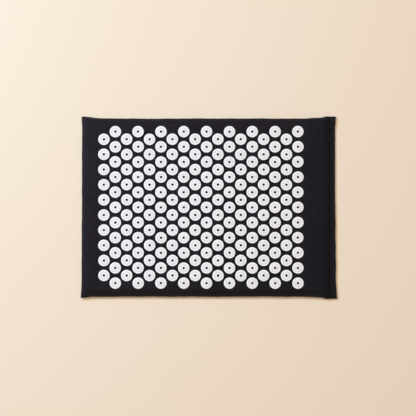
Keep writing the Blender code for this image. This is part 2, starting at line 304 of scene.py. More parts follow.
def lower_height(x, y):
    """The outer surface of the lower cloth, which lies flat under the hem."""
    side = climb(edge_depth(x, y) - FLANGE, LOWER_ROUND)
    end = climb(x - LEFT_X - FLANGE, LOWER_ROUND)
    return LOWER_SEAM_Z * (1 - side * end) * (1 - ease((x - FOLD_X) / (HEM_X - FOLD_X)))


def worn(points):
    """Moves points of the clean form to the worn one: uneven edges, flared corners and puckers."""
    x, y = points[:, 0].copy(), points[:, 1].copy()
    far = y > 0
    from_side = edge_depth(x, y)
    from_left = x - LEFT_X
    near_side = 1 - ease(from_side / EDGE_REACH)
    near_left = 1 - ease(from_left / EDGE_REACH)
    near_right = ease((x - FOLD_X) / (RIGHT_X - FOLD_X))

    sway = np.where(far, waves(x, (0.31, 0.17, 0.071), 11), waves(x, (0.27, 0.13, 0.083), 12))
    ripple = np.where(far, waves(x, (0.037, 0.023), 13), waves(x, (0.033, 0.026), 14))
    points[:, 1] += np.sign(y) * near_side * (EDGE_OUT + EDGE_SWAY * sway + EDGE_RIPPLE * ripple)

    corner = ease((np.abs(y) - CORNER_START) / CORNER_LENGTH)
    left_out = LEFT_OUT + LEFT_SKEW * y + LEFT_SWAY * waves(y, (0.21, 0.09, 0.041), 15)
    points[:, 0] -= near_left * (left_out + by_side(LEFT_CORNER_OUT, far) * corner)
    right_out = RIGHT_OUT + RIGHT_SKEW * y + RIGHT_SWAY * waves(y, (0.24, 0.11, 0.047), 16)
    points[:, 0] += near_right * (right_out + by_side(RIGHT_CORNER_OUT, far) * corner)

    pucker = np.where(far, waves(x, (0.019, 0.0143, 0.027), 17), waves(x, (0.0175, 0.0151, 0.031), 18))
    side_fade = 1 - ease((from_side - PUCKER_START) / PUCKER_LENGTH)
    points[:, 2] += PUCKER * pucker * side_fade * ease((RIGHT_X - x) / PUCKER_END_LENGTH)
    left_pucker = waves(y, (0.0182, 0.0147, 0.029), 19)
    left_fade = (1 - ease((from_left - PUCKER_START) / PUCKER_LENGTH)) * (1 - near_side)
    points[:, 2] += PUCKER * left_pucker * left_fade
    return points


def spread(start, end, size):
    """Even steps from start to end, each at most about this size."""
    return np.linspace(start, end, max(int(round((end - start) / size)), 1) + 1)


def round_depths(run, steps=8):
    """The depths of the rows that follow the round edge of the cover."""
    return FLANGE + run * (1 - np.cos(np.linspace(0, math.pi / 2, steps + 1)))


def edge_depths(run):
    """The depths of the rows on the flange and the round edge."""
    return np.concatenate([FLANGE_DEPTHS, round_depths(run)])


def rows_across(x, run, size):
    """The y of each row at the stations x, as one row of the result for each station."""
    near = edge_depths(run)
    low = near[None, :] - half_width(x, -1)[:, None]
    high = half_width(x, 1)[:, None] - near[None, ::-1]
    count = int(round(2 * (SIDE_HALF_WIDTH - near[-1]) / size))
    shares = np.linspace(0, 1, count + 1)[None, 1:-1]
    middle = low[:, -1:] + (high[:, :1] - low[:, -1:]) * shares
    return np.concatenate([low, middle, high], axis=1)


def path_at(x, y, z):
    """A path of points, where any two of x, y and z may be one value for all of them."""
    return np.stack(np.broadcast_arrays(x, y, z), 1).astype(float)


def grid_faces(rows, columns):
    """The four-sided faces between the points of a grid."""
    index = np.arange(rows * columns).reshape(rows, columns)
    return np.stack([index[:-1, :-1], index[1:, :-1], index[1:, 1:], index[:-1, 1:]], -1).reshape(-1, 4)


def unrolled(surface):
    """How far each point of a grid lies from its first edges, measured over the cloth, in metres."""
    steps = np.linalg.norm(np.diff(surface, axis=1), axis=2)
    across = np.concatenate([np.zeros((surface.shape[0], 1)), np.cumsum(steps, axis=1)], axis=1)
    across -= across[:, [across.shape[1] // 2]]
    middle = surface[:, surface.shape[1] // 2]
    along = np.concatenate([[0.0], np.cumsum(np.linalg.norm(np.diff(middle, axis=0), axis=1))])
    return np.stack([np.broadcast_to(along[:, None], across.shape), across], -1)


# Pieces

def object_from(name, mesh, material):
    """Puts a mesh into the scene as an object with this material."""
    mesh.materials.append(material)
    piece = bpy.data.objects.new(name, mesh)
    bpy.context.scene.collection.objects.link(piece)
    return piece


class Parts:
    """Collects the points and faces of one piece."""

    def __init__(self):
        self.points = []
        self.faces = []
        self.count = 0

    def add(self, points, faces):
        self.points.append(np.asarray(points, float))
        self.faces.extend([tuple(self.count + corner for corner in face) for face in faces])
        self.count += len(points)

    def piece(self, name, material, degrees=40):
        mesh = bpy.data.meshes.new(name)
        mesh.from_pydata(np.concatenate(self.points).tolist(), [], self.faces)
        mesh.shade_smooth()
        mesh.set_sharp_from_angle(angle=math.radians(degrees))
        return object_from(name, mesh, material)


def tube(points, radii, sides, up):
    """A closed tube along these points, as (points, faces)."""
    points = np.asarray(points, float)
    along = np.gradient(points, axis=0)
    along /= np.linalg.norm(along, axis=1)[:, None]
    across = np.cross(along, np.asarray(up, float))
    across /= np.linalg.norm(across, axis=1)[:, None]
    over = np.cross(across, along)
    turn = 2 * math.pi * np.arange(sides) / sides
    radii = np.asarray(radii, float)[:, None, None]
    ring = across[:, None] * np.cos(turn)[None, :, None] + over[:, None] * np.sin(turn)[None, :, None]
    skin = (points[:, None] + radii * ring).reshape(-1, 3)
    faces = []
    for step in range(len(points) - 1):
        for side in range(sides):
            first, second = step * sides + side, step * sides + (side + 1) % sides
            faces.append((first, second, second + sides, first + sides))
    last = (len(points) - 1) * sides
    faces.append(tuple(range(sides))[::-1])
    faces.append(tuple(range(last, last + sides)))
    return skin, faces


def cloth_piece(name, surface, material):
    """A sheet from a grid of points, with a UV map in metres over the cloth."""
    rows, columns = surface.shape[:2]
    mesh = bpy.data.meshes.new(name)
    faces = grid_faces(rows, columns)
    mesh.from_pydata(surface.reshape(-1, 3).tolist(), [], faces.tolist())
    layer = mesh.uv_layers.new(name="cloth")
    places = unrolled(surface).reshape(-1, 2)[faces.ravel()]
    layer.uv.foreach_set("vector", places.astype(np.float32).ravel())
    mesh.shade_smooth()
    return object_from(name, mesh, material)


def vectors(mesh, kind="co"):
    """The coordinates, or the normals, of a mesh's vertices."""
    found = np.empty(len(mesh.vertices) * 3, np.float32)
    mesh.vertices.foreach_get(kind, found)
    return found.reshape(-1, 3).astype(float)


def bake_modifiers(piece):
    """Makes the mesh with its modifiers the piece's own mesh."""
    depsgraph = bpy.context.evaluated_depsgraph_get()
    mesh = bpy.data.meshes.new_from_object(
        piece.evaluated_get(depsgraph), preserve_all_data_layers=True, depsgraph=depsgraph
    )
    piece.modifiers.clear()
    piece.data = mesh


def thicken(piece, thickness):
    """Gives a sheet this thickness, inwards from the surface that it has."""
    solidify = piece.modifiers.new("thickness", "SOLIDIFY")
    solidify.thickness = thickness
    solidify.offset = -1.0
    solidify.use_even_offset = True
    bake_modifiers(piece)


# Materials

class Shader:
    """Adds and joins the nodes of one material.

    The plain colour and roughness are for a viewer that doesn't read the nodes.
    """

    def __init__(self, name, plain_colour, plain_roughness):
        self.material = bpy.data.materials.new(name)
        self.material.use_nodes = True
        self.tree = self.material.node_tree
        self.surface = self.tree.nodes["Principled BSDF"]
        self.surface.inputs["Base Color"].default_value = (*plain_colour, 1.0)
        self.surface.inputs["Roughness"].default_value = plain_roughness

    def put(self, node, socket, value):
        if isinstance(value, bpy.types.NodeSocket):
            self.tree.links.new(value, node.inputs[socket])
        else:
            node.inputs[socket].default_value = value

    def node(self, kind, inputs, **settings):
        made = self.tree.nodes.new(kind)
        for key, value in settings.items():
            setattr(made, key, value)
        for socket, value in inputs.items():
            self.put(made, socket, value)
        return made

    def math(self, operation, first, second=0.0):
        return self.node("ShaderNodeMath", {0: first, 1: second}, operation=operation).outputs[0]

    def weighted(self, share, first, second):
        """This share of the first value and the rest of the second."""
        rest = self.math("MULTIPLY", second, 1 - share)
        return self.math("ADD", self.math("MULTIPLY", first, share), rest)

    def noise(self, where, scale, detail=3.0, roughness=0.5):
        inputs = {"Vector": where, "Scale": scale, "Detail": detail, "Roughness": roughness}
        return self.node("ShaderNodeTexNoise", inputs).outputs[0]

    def between(self, value, source, target):
        """Maps the pair of values called source to the pair called target."""
        inputs = {0: value, 1: source[0], 2: source[1], 3: target[0], 4: target[1]}
        return self.node("ShaderNodeMapRange", inputs).outputs[0]

    def blend(self, share, first, second):
        """A colour from the first one to the second, which may also be a node's output."""
        ends = [end if isinstance(end, bpy.types.NodeSocket) else (*end, 1.0) for end in (first, second)]
        return self.node("ShaderNodeMix", {0: share, 6: ends[0], 7: ends[1]}, data_type="RGBA").outputs[2]

    def bump(self, height, distance, strength=1.0):
        inputs = {"Height": height, "Distance": distance, "Strength": strength}
        return self.node("ShaderNodeBump", inputs).outputs[0]

    def place(self):
        return self.node("ShaderNodeTexCoord", {}).outputs["Object"]


def weave_height(shader, along, across, pitch):
    """The height of a plain weave, 0 to 1, where along and across run over the cloth in metres."""
    cells, profiles = [], []
    for place in (along, across):
        threads = shader.math("DIVIDE", place, pitch)
        cells.append(shader.math("FLOOR", threads))
        from_middle = shader.math("SUBTRACT", shader.math("FRACT", threads), 0.5)
        squared = shader.math("MULTIPLY", from_middle, from_middle)
        profiles.append(shader.math("SUBTRACT", 1.0, shader.math("MULTIPLY", squared, THREAD_FALL)))
    over = shader.math("PINGPONG", shader.math("ADD", cells[0], cells[1]), 1.0)
    warp = shader.math("MULTIPLY", profiles[0], shader.math("POWER", profiles[1], THREAD_DIP))
    weft = shader.math("MULTIPLY", profiles[1], shader.math("POWER", profiles[0], THREAD_DIP))
    shown_warp = shader.math("MULTIPLY", warp, over)
    shown_weft = shader.math("MULTIPLY", weft, shader.math("SUBTRACT", 1.0, over))
    return shader.math("ADD", shown_warp, shown_weft)


def canvas(name):
    """Black canvas with slubs and flecks, and painted light: lighter towards the left end and the far side,
    bluer towards the mouth end and lighter on the hem.
    """
    shader = Shader(name, (0.012, 0.011, 0.0135), 0.85)
    uv = shader.node("ShaderNodeUVMap", {}, uv_map="cloth").outputs[0]
    split = shader.node("ShaderNodeSeparateXYZ", {0: uv})
    along, across = split.outputs[0], split.outputs[1]

    wander = shader.noise(uv, scale=60.0, detail=2.0)
    wander = shader.between(wander, (0.0, 1.0), (-WEAVE_WANDER, WEAVE_WANDER))
    threads = [shader.math("ADD", place, wander) for place in (along, across)]
    weave = weave_height(shader, *threads, CANVAS_PITCH)
    slubs = shader.noise(uv, scale=260.0, detail=4.0, roughness=0.65)
    clouds = shader.noise(uv, scale=14.0, detail=3.0, roughness=0.55)
    # The tone partly follows the weave's height, which paints shade into the gaps between threads; slubs and
    # clouds are the cloth's own uneven tone
    pattern = shader.weighted(0.75, shader.weighted(0.35, weave, slubs), clouds)

    # Painted light: the cloth gets lighter towards the left end and towards the far (+Y) side, as the lamp
    # light falls off
    painted_light_along = shader.between(along, (0.0, 0.6), (1.08, 0.62))
    painted_light_across = shader.between(across, (-0.2, 0.2), (0.8, 1.1))
    flecks = shader.noise(uv, scale=190.0, detail=2.0, roughness=0.6)
    flecks = shader.between(flecks, (0.3, 0.7), (0.76, 1.2))
    # Painted light: the hem and the turned edge are made lighter, in place of the key lamp's light that the
    # mat's end shades off them
    hem = shader.between(along, HEM_ALONG, (1.0, 1.15))
    tone = shader.between(pattern, (0.3, 0.7), (0.2, 1.0))
    for factor in (shader.math("MULTIPLY", painted_light_along, painted_light_across), flecks, hem):
        tone = shader.math("MULTIPLY", tone, factor)
    # Past MOUTH_ALONG the canvas colour turns bluer: painted light in place of the bluish key lamp's light
    dye_and_painted_light = shader.blend(shader.between(along, MOUTH_ALONG, (0.0, 1.0)), CANVAS_DYE, MOUTH_PAINTED_LIGHT)
    shader.put(shader.surface, "Base Color", shader.blend(tone, BLACK, dye_and_painted_light))

    shader.put(shader.surface, "Roughness", shader.between(slubs, (0.3, 0.7), (0.6, 0.75)))
    shader.surface.inputs["Specular IOR Level"].default_value = 0.08
    shader.surface.inputs["Sheen Weight"].default_value = 0.02
    shader.surface.inputs["Sheen Roughness"].default_value = 0.45
    height = shader.math("ADD", weave, shader.math("MULTIPLY", slubs, 0.35))
    shader.put(shader.surface, "Normal", shader.bump(height, 0.12 * MM, 0.8))
    return shader.material


def moulded_plastic(name):
    """White plastic, with painted shade that makes it greyer in the sunken ring of each disc than on its rim.
    """
    shader = Shader(name, (0.83, 0.825, 0.86), 0.36)
    place = shader.place()
    cloud = shader.noise(place, scale=45.0, detail=2.0)
    grain = shader.noise(place, scale=2600.0, detail=2.0, roughness=0.6)
    height = shader.node("ShaderNodeSeparateXYZ", {0: place}).outputs[2]
    uneven = shader.between(cloud, (0.0, 1.0), (0.965, 1.0))
    # Painted shade: the colour darkens with depth, from the rim down into the sunken ring among the spikes
    sunken = shader.between(height, (TOP_Z + SUNKEN_Z, TOP_Z + RIM_Z), (0.81, 1.0))
    tone = shader.math("MULTIPLY", uneven, sunken)
    shader.put(shader.surface, "Base Color", shader.blend(tone, BLACK, WHITE_PLASTIC))
    shader.put(shader.surface, "Roughness", shader.between(grain, (0.3, 0.7), (0.30, 0.44)))
    shader.surface.inputs["IOR"].default_value = 1.5
    shader.surface.inputs["Specular IOR Level"].default_value = 0.5
    shader.put(shader.surface, "Normal", shader.bump(grain, 0.03 * MM, 0.35))
    return shader.material


def painted_hole_shade(name):
    """Painted shade: a near-black spot in a disc's hole, in place of the shade that falls there."""
    shader = Shader(name, (0.002, 0.002, 0.0022), 0.8)
    grain = shader.noise(shader.place(), scale=1800.0, detail=2.0)
    colour = shader.blend(grain, (0.001, 0.001, 0.0011), (0.004, 0.004, 0.0044))
    shader.put(shader.surface, "Base Color", colour)
    shader.surface.inputs["Specular IOR Level"].default_value = 0.05
    shader.put(shader.surface, "Normal", shader.bump(grain, 0.05 * MM, 0.5))
    return shader.material


def open_cell_foam(name):
    """Cream foam, with painted shade that darkens its pores."""
    shader = Shader(name, (0.80, 0.74, 0.55), 0.95)
    place = shader.place()
    cells = {"Vector": place, "Scale": 900.0}
    walls = shader.node("ShaderNodeTexVoronoi", cells, feature="DISTANCE_TO_EDGE").outputs["Distance"]
    pores = shader.between(walls, (0.0, 0.25), (0.0, 1.0))
    patches = shader.between(shader.noise(place, scale=22.0), (0.3, 0.7), (0.8, 1.0))
    # Painted shade: the colour darkens towards the middle of each pore, where its hollow is shaded
    tone = shader.math("MULTIPLY", shader.between(pores, (0.0, 1.0), (1.0, 0.45)), patches)
    shader.put(shader.surface, "Base Color", shader.blend(tone, (0.52, 0.44, 0.26), (0.84, 0.78, 0.6)))
    shader.surface.inputs["Specular IOR Level"].default_value = 0.2
    shader.put(shader.surface, "Normal", shader.bump(shader.math("SUBTRACT", 1.0, pores), 0.35 * MM, 0.9))
    return shader.material


def woven_tape(name):
    """The black woven ground of the closure tapes, with painted shade in the gaps between its threads."""
    shader = Shader(name, (0.013, 0.013, 0.015), 0.7)
    place = shader.place()
    split = shader.node("ShaderNodeSeparateXYZ", {0: place})
    weave = weave_height(shader, split.outputs[0], split.outputs[1], TAPE_PITCH)
    lint = shader.noise(place, scale=500.0, detail=3.0, roughness=0.6)
    # The tone follows the weave's height, which paints shade into the gaps between threads; the lint noise is
    # the tape's own uneven tone
    tone = shader.math("MULTIPLY", weave, shader.between(lint, (0.2, 0.8), (0.5, 1.2)))
    shader.put(shader.surface, "Base Color", shader.blend(tone, (0.005, 0.005, 0.006), (0.024, 0.024, 0.028)))
    shader.surface.inputs["Specular IOR Level"].default_value = 0.3
    shader.put(shader.surface, "Normal", shader.bump(weave, 0.15 * MM, 0.7))
    return shader.material


def nylon_filament(name):
    """The hooks and loops of the closure tapes."""
    shader = Shader(name, (0.015, 0.015, 0.018), 0.35)
    lint = shader.noise(shader.place(), scale=900.0, detail=2.0)
    shader.put(shader.surface, "Base Color", shader.blend(lint, (0.010, 0.010, 0.012), (0.03, 0.03, 0.034)))
    shader.put(shader.surface, "Roughness", shader.between(lint, (0.2, 0.8), (0.28, 0.45)))
    return shader.material


def spun_thread(name):
    """Black sewing thread with a visible twist, whose grooves get painted shade."""
    shader = Shader(name, (0.016, 0.015, 0.018), 0.6)
    place = shader.place()
    bands = {"Vector": place, "Scale": 900.0, "Distortion": 1.0}
    twist = shader.node("ShaderNodeTexWave", bands, bands_direction="DIAGONAL").outputs["Fac"]
    fuzz = shader.between(shader.noise(place, scale=1500.0), (0.2, 0.8), (0.5, 1.3))
    # The tone follows the twist's bands, which paints shade into its grooves; the fuzz noise is the thread's
    # own uneven tone
    tone = shader.math("MULTIPLY", twist, fuzz)
    shader.put(shader.surface, "Base Color", shader.blend(tone, (0.008, 0.0075, 0.009), (0.03, 0.028, 0.033)))
    shader.surface.inputs["Sheen Weight"].default_value = 0.1
    shader.put(shader.surface, "Normal", shader.bump(twist, 0.08 * MM, 0.8))
    return shader.material


black_canvas = canvas("black_canvas")
white_plastic = moulded_plastic("white_moulded_plastic")
hole_shade_material = painted_hole_shade("painted_hole_shade")
foam_material = open_cell_foam("open_cell_foam")
tape_material = woven_tape("closure_tape_ribbon")
filament_material = nylon_filament("closure_tape_filament")
thread_material = spun_thread("sewing_thread")


# Discs

def disc_places():
    """The centre of each disc, for each column of the frame."""
    found = {}
    for number, (name, x) in enumerate(zip(DISC_COLUMNS, COLUMN_XS)):
        count = DISCS_BY_TURNS[number % len(DISCS_BY_TURNS)]
        found[name] = [(x, (step - (count - 1) / 2) * ROW_PITCH) for step in range(count)]
    return found


def disc_template():
    """One disc on the cloth at z = 0: a rim, a sunken ring of spikes and a raised collar round the hole."""
    parts = Parts()
    rings = rings_of(DISC_PROFILE, DISC_SEGMENTS)
    faces = []
    for ring in range(len(DISC_PROFILE)):
        for side in range(DISC_SEGMENTS):
            after = (side + 1) % DISC_SEGMENTS
            here, there = ring * DISC_SEGMENTS, (ring + 1) % len(DISC_PROFILE) * DISC_SEGMENTS
            faces.append((here + side, here + after, there + after, there + side))
    parts.add(rings, faces)

    for spikes in SPIKE_RINGS:
        for step in range(spikes["count"]):
            angle = math.radians(spikes["first"] + 360 * step / spikes["count"])
            add_spike(parts, spikes["radius"] * np.array([math.cos(angle), math.sin(angle), 0.0]))
    return np.concatenate(parts.points) * MM, parts.faces


def rings_of(profile, sides):
    """The points of a turned profile, ring by ring."""
    turn = 2 * math.pi * np.arange(sides) / sides
    return np.array([(r * math.cos(a), r * math.sin(a), z) for r, z in profile for a in turn])


def add_spike(parts, centre):
    """One slim spike: a closed cone with a blunt tip."""
    points = [*(centre + rings_of(SPIKE_PROFILE, SPIKE_SIDES)), centre + (0.0, 0.0, SPIKE_TIP)]
    faces = [tuple(range(SPIKE_SIDES))[::-1]]
    for level in range(len(SPIKE_PROFILE) - 1):
        for side in range(SPIKE_SIDES):
            here, after = level * SPIKE_SIDES + side, level * SPIKE_SIDES + (side + 1) % SPIKE_SIDES
            faces.append((here, after, after + SPIKE_SIDES, here + SPIKE_SIDES))
    tip = len(points) - 1
    last = tip - SPIKE_SIDES
    faces += [(last + side, last + (side + 1) % SPIKE_SIDES, tip) for side in range(SPIKE_SIDES)]
    parts.add(points, faces)


def turned(points, about_z, tilt, towards):
    """Points turned about the vertical, then tilted towards this direction."""
    c, s = math.cos(about_z), math.sin(about_z)
    points = points @ np.array([[c, s, 0], [-s, c, 0], [0, 0, 1]])
    lean = math.sin(tilt) * (points[:, 0] * math.cos(towards) + points[:, 1] * math.sin(towards))
    return points + np.stack([np.zeros(len(points)), np.zeros(len(points)), lean], 1)


def build_discs():
    """The discs of each column, each one turned, tilted and shifted a little."""
    template, faces = disc_template()
    rng = np.random.default_rng(7)
    for name, centres in disc_places().items():
        parts, shade_spots = Parts(), Parts()
        for x, y in centres:
            shift = rng.uniform(-MOST_SHIFT, MOST_SHIFT, 2)
            about_z = rng.normal(0, TURN_SPREAD)
            tilt = rng.uniform(0, MOST_TILT)
            points = turned(template, about_z, tilt, rng.uniform(0, 2 * math.pi))
            place = np.array([x + shift[0], y + shift[1], TOP_Z])
            parts.add(points + place, faces)
            # A near-black spot of painted shade in the disc's hole
            middle_line = [place, place + (0, 0, SPOT_HEIGHT)]
            shade_spots.add(*tube(middle_line, [SPOT_RADIUS] * 2, SPOT_SIDES, (1.0, 0, 0)))
        piece_name = name.replace("disc_column", "discs")
        discs = parts.piece(piece_name, white_plastic, 50)
        shade_spots_piece = recalculated(shade_spots.piece("shade_spots", hole_shade_material))
        piece = join(piece_name, discs, shade_spots_piece)
        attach(piece, "mat")
        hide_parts(name)


# Cover

def upper_stations():
    """The x of each row of the upper cloth up to the hem, closer together where it bends more."""
    left = LEFT_X + edge_depths(UPPER_ROUND)
    flat = spread(left[-1], SLOPE_END_X - END_ROUND, UPPER_CELL)[1:]
    fold = spread(SLOPE_END_X - END_ROUND, FOLD_X, FOLD_CELL)[1:]
    slope = FOLD_X + (SLOPE_END_X - FOLD_X) * np.sin(np.linspace(0, math.pi / 2, SLOPE_ROWS + 1))[1:]
    groove = spread(SLOPE_END_X, HEM_X, GROOVE_CELL)[1:]
    return np.concatenate([left, flat, fold, slope, groove])


def hem_outline():
    """The x and z of the upper cloth past the groove: up, along the hem, round its edge and back."""
    groove_z = HEM_TOP_Z - TUCK_DEPTH
    rise = [(HEM_X + share * TUCK_WIDTH, groove_z + TUCK_DEPTH * climb(share, 1.0)) for share in RISE_SHARES]
    turn_x, turn_z = RIGHT_X - HEM_ROUND, HEM_TOP_Z - HEM_ROUND
    flat = [(x, HEM_TOP_Z) for x in spread(HEM_X + TUCK_WIDTH, turn_x, HEM_CELL)[1:]]
    angles = np.linspace(0, math.pi, HEM_TURN_ROWS + 1)[1:]
    edge = [(turn_x + HEM_ROUND * math.sin(angle), turn_z + HEM_ROUND * math.cos(angle)) for angle in angles]
    back = [(x, turn_z - HEM_ROUND) for x in spread(TURNED_EDGE_X, turn_x, TURNED_CELL)[-2::-1]]
    return rise + flat + edge + back


def upper_surface():
    """The upper cloth from the left edge over the top and down to the hem, which is turned under."""
    x = upper_stations()
    y = rows_across(x, UPPER_ROUND, UPPER_CELL)
    x = np.broadcast_to(x[:, None], y.shape)
    top = np.stack([x, y, upper_height(x, y)], -1)
    hem = [path_at(hem_x, y[-1], hem_z) for hem_x, hem_z in hem_outline()]
    surface = np.concatenate([top, np.array(hem)], axis=0)
    return worn(surface.reshape(-1, 3)).reshape(surface.shape)


def lower_surface():
    """The lower cloth from the left edge to the lower lip of the mouth, never below the floor."""
    left = LEFT_X + edge_depths(LOWER_ROUND)
    flat = spread(left[-1], FOLD_X, LOWER_CELL)[1:]
    slope = spread(FOLD_X, HEM_X, LOWER_SLOPE_CELL)[1:]
    lip = spread(HEM_X, RIGHT_X, LIP_CELL)[1:]
    x = np.concatenate([left, flat, slope, lip])
    y = rows_across(x, LOWER_ROUND, LOWER_CELL)
    x = np.broadcast_to(x[:, None], y.shape)
    surface = np.stack([x, y, lower_height(x, y)], -1)
    surface = worn(surface.reshape(-1, 3)).reshape(surface.shape)
    surface[..., 2] = np.maximum(surface[..., 2], 0)
    return surface


def freedom(points):
    """How freely each point of the upper cloth moves: 0 at the seams, by the mouth and under the discs."""
    x, y = points[:, 0], points[:, 1]
    from_disc = np.full(len(points), np.inf)
    for centres in disc_places().values():
        for centre_x, centre_y in centres:
            from_disc = np.minimum(from_disc, np.hypot(x - centre_x, y - centre_y) - DISC_RADIUS)
    from_seam = np.minimum(edge_depth(x, y), x - LEFT_X) - FLANGE
    from_mouth = SLOPE_END_X - END_ROUND - x
    shares = [from_disc / FREE_FROM_DISC, from_seam / FREE_FROM_SEAM, from_mouth / FREE_FROM_MOUTH]
    return ease(np.minimum.reduce(shares))


def swell(cover):
    """Lets the cloth swell over its foam between the seams and the discs, by cloth simulation."""
    scene = bpy.context.scene
    rest, normals = vectors(cover.data), vectors(cover.data, "normal")
    free = freedom(rest)
    held = cover.vertex_groups.new(name="held")
    held.add(np.flatnonzero(free <= 0).tolist(), 1.0, "REPLACE")

    cloth = cover.modifiers.new("cloth", "CLOTH")
    cloth.settings.quality = SWELL_QUALITY
    cloth.settings.mass = POINT_MASS
    cloth.settings.vertex_group_mass = held.name
    cloth.settings.use_pressure = True
    cloth.settings.uniform_pressure_force = SWELL_PRESSURE
    cloth.settings.shrink_min = -SLACK
    cloth.settings.effector_weights.gravity = 0.0
    cloth.collision_settings.use_collision = False
    cloth.point_cache.frame_end = SWELL_FRAMES
    for step in range(1, SWELL_FRAMES + 1):
        scene.frame_set(step)
    moved = vectors(cover.evaluated_get(bpy.context.evaluated_depsgraph_get()).data) - rest
    cover.modifiers.clear()
    cover.vertex_groups.clear()
    scene.frame_set(1)

    out = np.sum(moved * normals, axis=1)
    aside = moved - out[:, None] * normals
    aside *= np.minimum(1, MOST_ASIDE / np.maximum(np.linalg.norm(aside, axis=1), 1e-9))[:, None]
    swollen = rest + free[:, None] * (aside + np.clip(out, -MOST_IN, MOST_OUT)[:, None] * normals)
    cover.data.vertices.foreach_set("co", swollen.astype(np.float32).ravel())
    cover.data.update()


def build_cover():
    """The upper and the lower cloth; the upper one rounds down from the top to the hem."""
    cover = cloth_piece("cover_top", upper_surface(), black_canvas)
    swell(cover)
    thicken(cover, CLOTH)
    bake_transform(cover)
    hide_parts("top_panel", "mouth_flap")

    base = cloth_piece("cover_bottom", lower_surface(), black_canvas)
    base.data.flip_normals()
    thicken(base, CLOTH)
    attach(base, "mat")
    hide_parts("bottom_panel")
    return cover, base


# Foam

def build_foam():
    """The foam pad inside the cover: an upper and a lower surface that meet round its edge."""
    left, right = LEFT_X + FOAM_INSET, FOLD_X
    rounds = FOAM_ROUND * (1 - np.cos(np.linspace(0, math.pi / 2, 7)))
    end_rounds = FOAM_END_ROUND / FOAM_ROUND * rounds
    flat = spread(left + rounds[-1], right - FOAM_END_ROUND, FOAM_CELL)[1:-1]
    x = np.concatenate([left + rounds, flat, right - end_rounds[::-1]])
    low = rounds[None, :] - (half_width(x, -1)[:, None] - FOAM_INSET)
    high = half_width(x, 1)[:, None] - FOAM_INSET - rounds[None, ::-1]
    shares = np.linspace(0, 1, FOAM_ROWS + 1)[None, 1:-1]
    middle = low[:, -1:] + (high[:, :1] - low[:, -1:]) * shares
    y = np.concatenate([low, middle, high], axis=1)
    x = np.broadcast_to(x[:, None], y.shape)

    side = climb(edge_depth(x, y) - FOAM_INSET, FOAM_ROUND)
    lift = side * climb(x - left, FOAM_ROUND) * climb(right - x, FOAM_END_ROUND)
    dent = np.minimum(FOAM_DENT * waves(x + 0.4 * y, (0.023, 0.031, 0.017), 31) * lift, 0)
    upper = np.stack([x, y, FOAM_MIDDLE_Z + (FOAM_TOP_Z - FOAM_MIDDLE_Z) * lift + dent], -1)
    lower = np.stack([x, y, FOAM_MIDDLE_Z - (FOAM_MIDDLE_Z - FOAM_BOTTOM_Z) * lift], -1)
    rows, columns = y.shape
    faces = grid_faces(rows, columns)
    parts = Parts()
    parts.add(upper.reshape(-1, 3), faces.tolist())
    parts.add(lower.reshape(-1, 3), faces[:, ::-1].tolist())
    pad = parts.piece("foam_core", foam_material, 60)
    bm = bmesh.new()
    bm.from_mesh(pad.data)
    bmesh.ops.remove_doubles(bm, verts=bm.verts, dist=0.001 * MM)
    bm.to_mesh(pad.data)
    bm.free()
    pad.data.shade_smooth()
    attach(pad, "mat")
    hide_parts("foam_pad")
    return pad


# Closure tapes

def ribbon(box, low_z, high_z):
    """The parts of a woven strip with thick selvedges, slightly wavy."""
    low, high = box
    xs = low.x + (high.x - low.x) * RIBBON_WIDTH_SHARES
    ys = spread(low.y, high.y, RIBBON_STEP)
    x, y = np.meshgrid(xs, ys, indexing="ij")
    x = x + RIBBON_SWAY * waves(y, (0.05, 0.021), 41)
    z = low_z + (high_z - low_z) * np.broadcast_to(RIBBON_RISE_SHARES[:, None], x.shape)
    upper = np.stack([x, y, z], -1).reshape(-1, 3)
    lower = np.stack([x, y, np.full_like(z, low_z)], -1).reshape(-1, 3)

    rows, columns = x.shape
    faces = grid_faces(rows, columns)
    rim = list(range(columns)) + [row * columns + columns - 1 for row in range(1, rows)]
    rim += [(rows - 1) * columns + column for column in range(columns - 2, -1, -1)]
    rim += [row * columns for row in range(rows - 2, 0, -1)]
    under = rows * columns
    sides = [(a, b, b + under, a + under) for a, b in zip(rim, rim[1:] + rim[:1])]
    parts = Parts()
    parts.add(np.concatenate([upper, lower]), faces.tolist() + (faces[:, ::-1] + under).tolist() + sides)
    return parts


def join(name, first, second):
    """Joins the second piece into the first, and both keep their materials."""
    both = [first, second]
    chosen = {"active_object": first, "selected_objects": both, "selected_editable_objects": both}
    with bpy.context.temp_override(object=first, **chosen):
        bpy.ops.object.join()
    first.name = name
    return first


def recalculated(piece):
    """The piece with all its faces turned outwards."""
    bm = bmesh.new()
    bm.from_mesh(piece.data)
    bmesh.ops.recalc_face_normals(bm, faces=bm.faces)
    bm.to_mesh(piece.data)
    bm.free()
    return piece


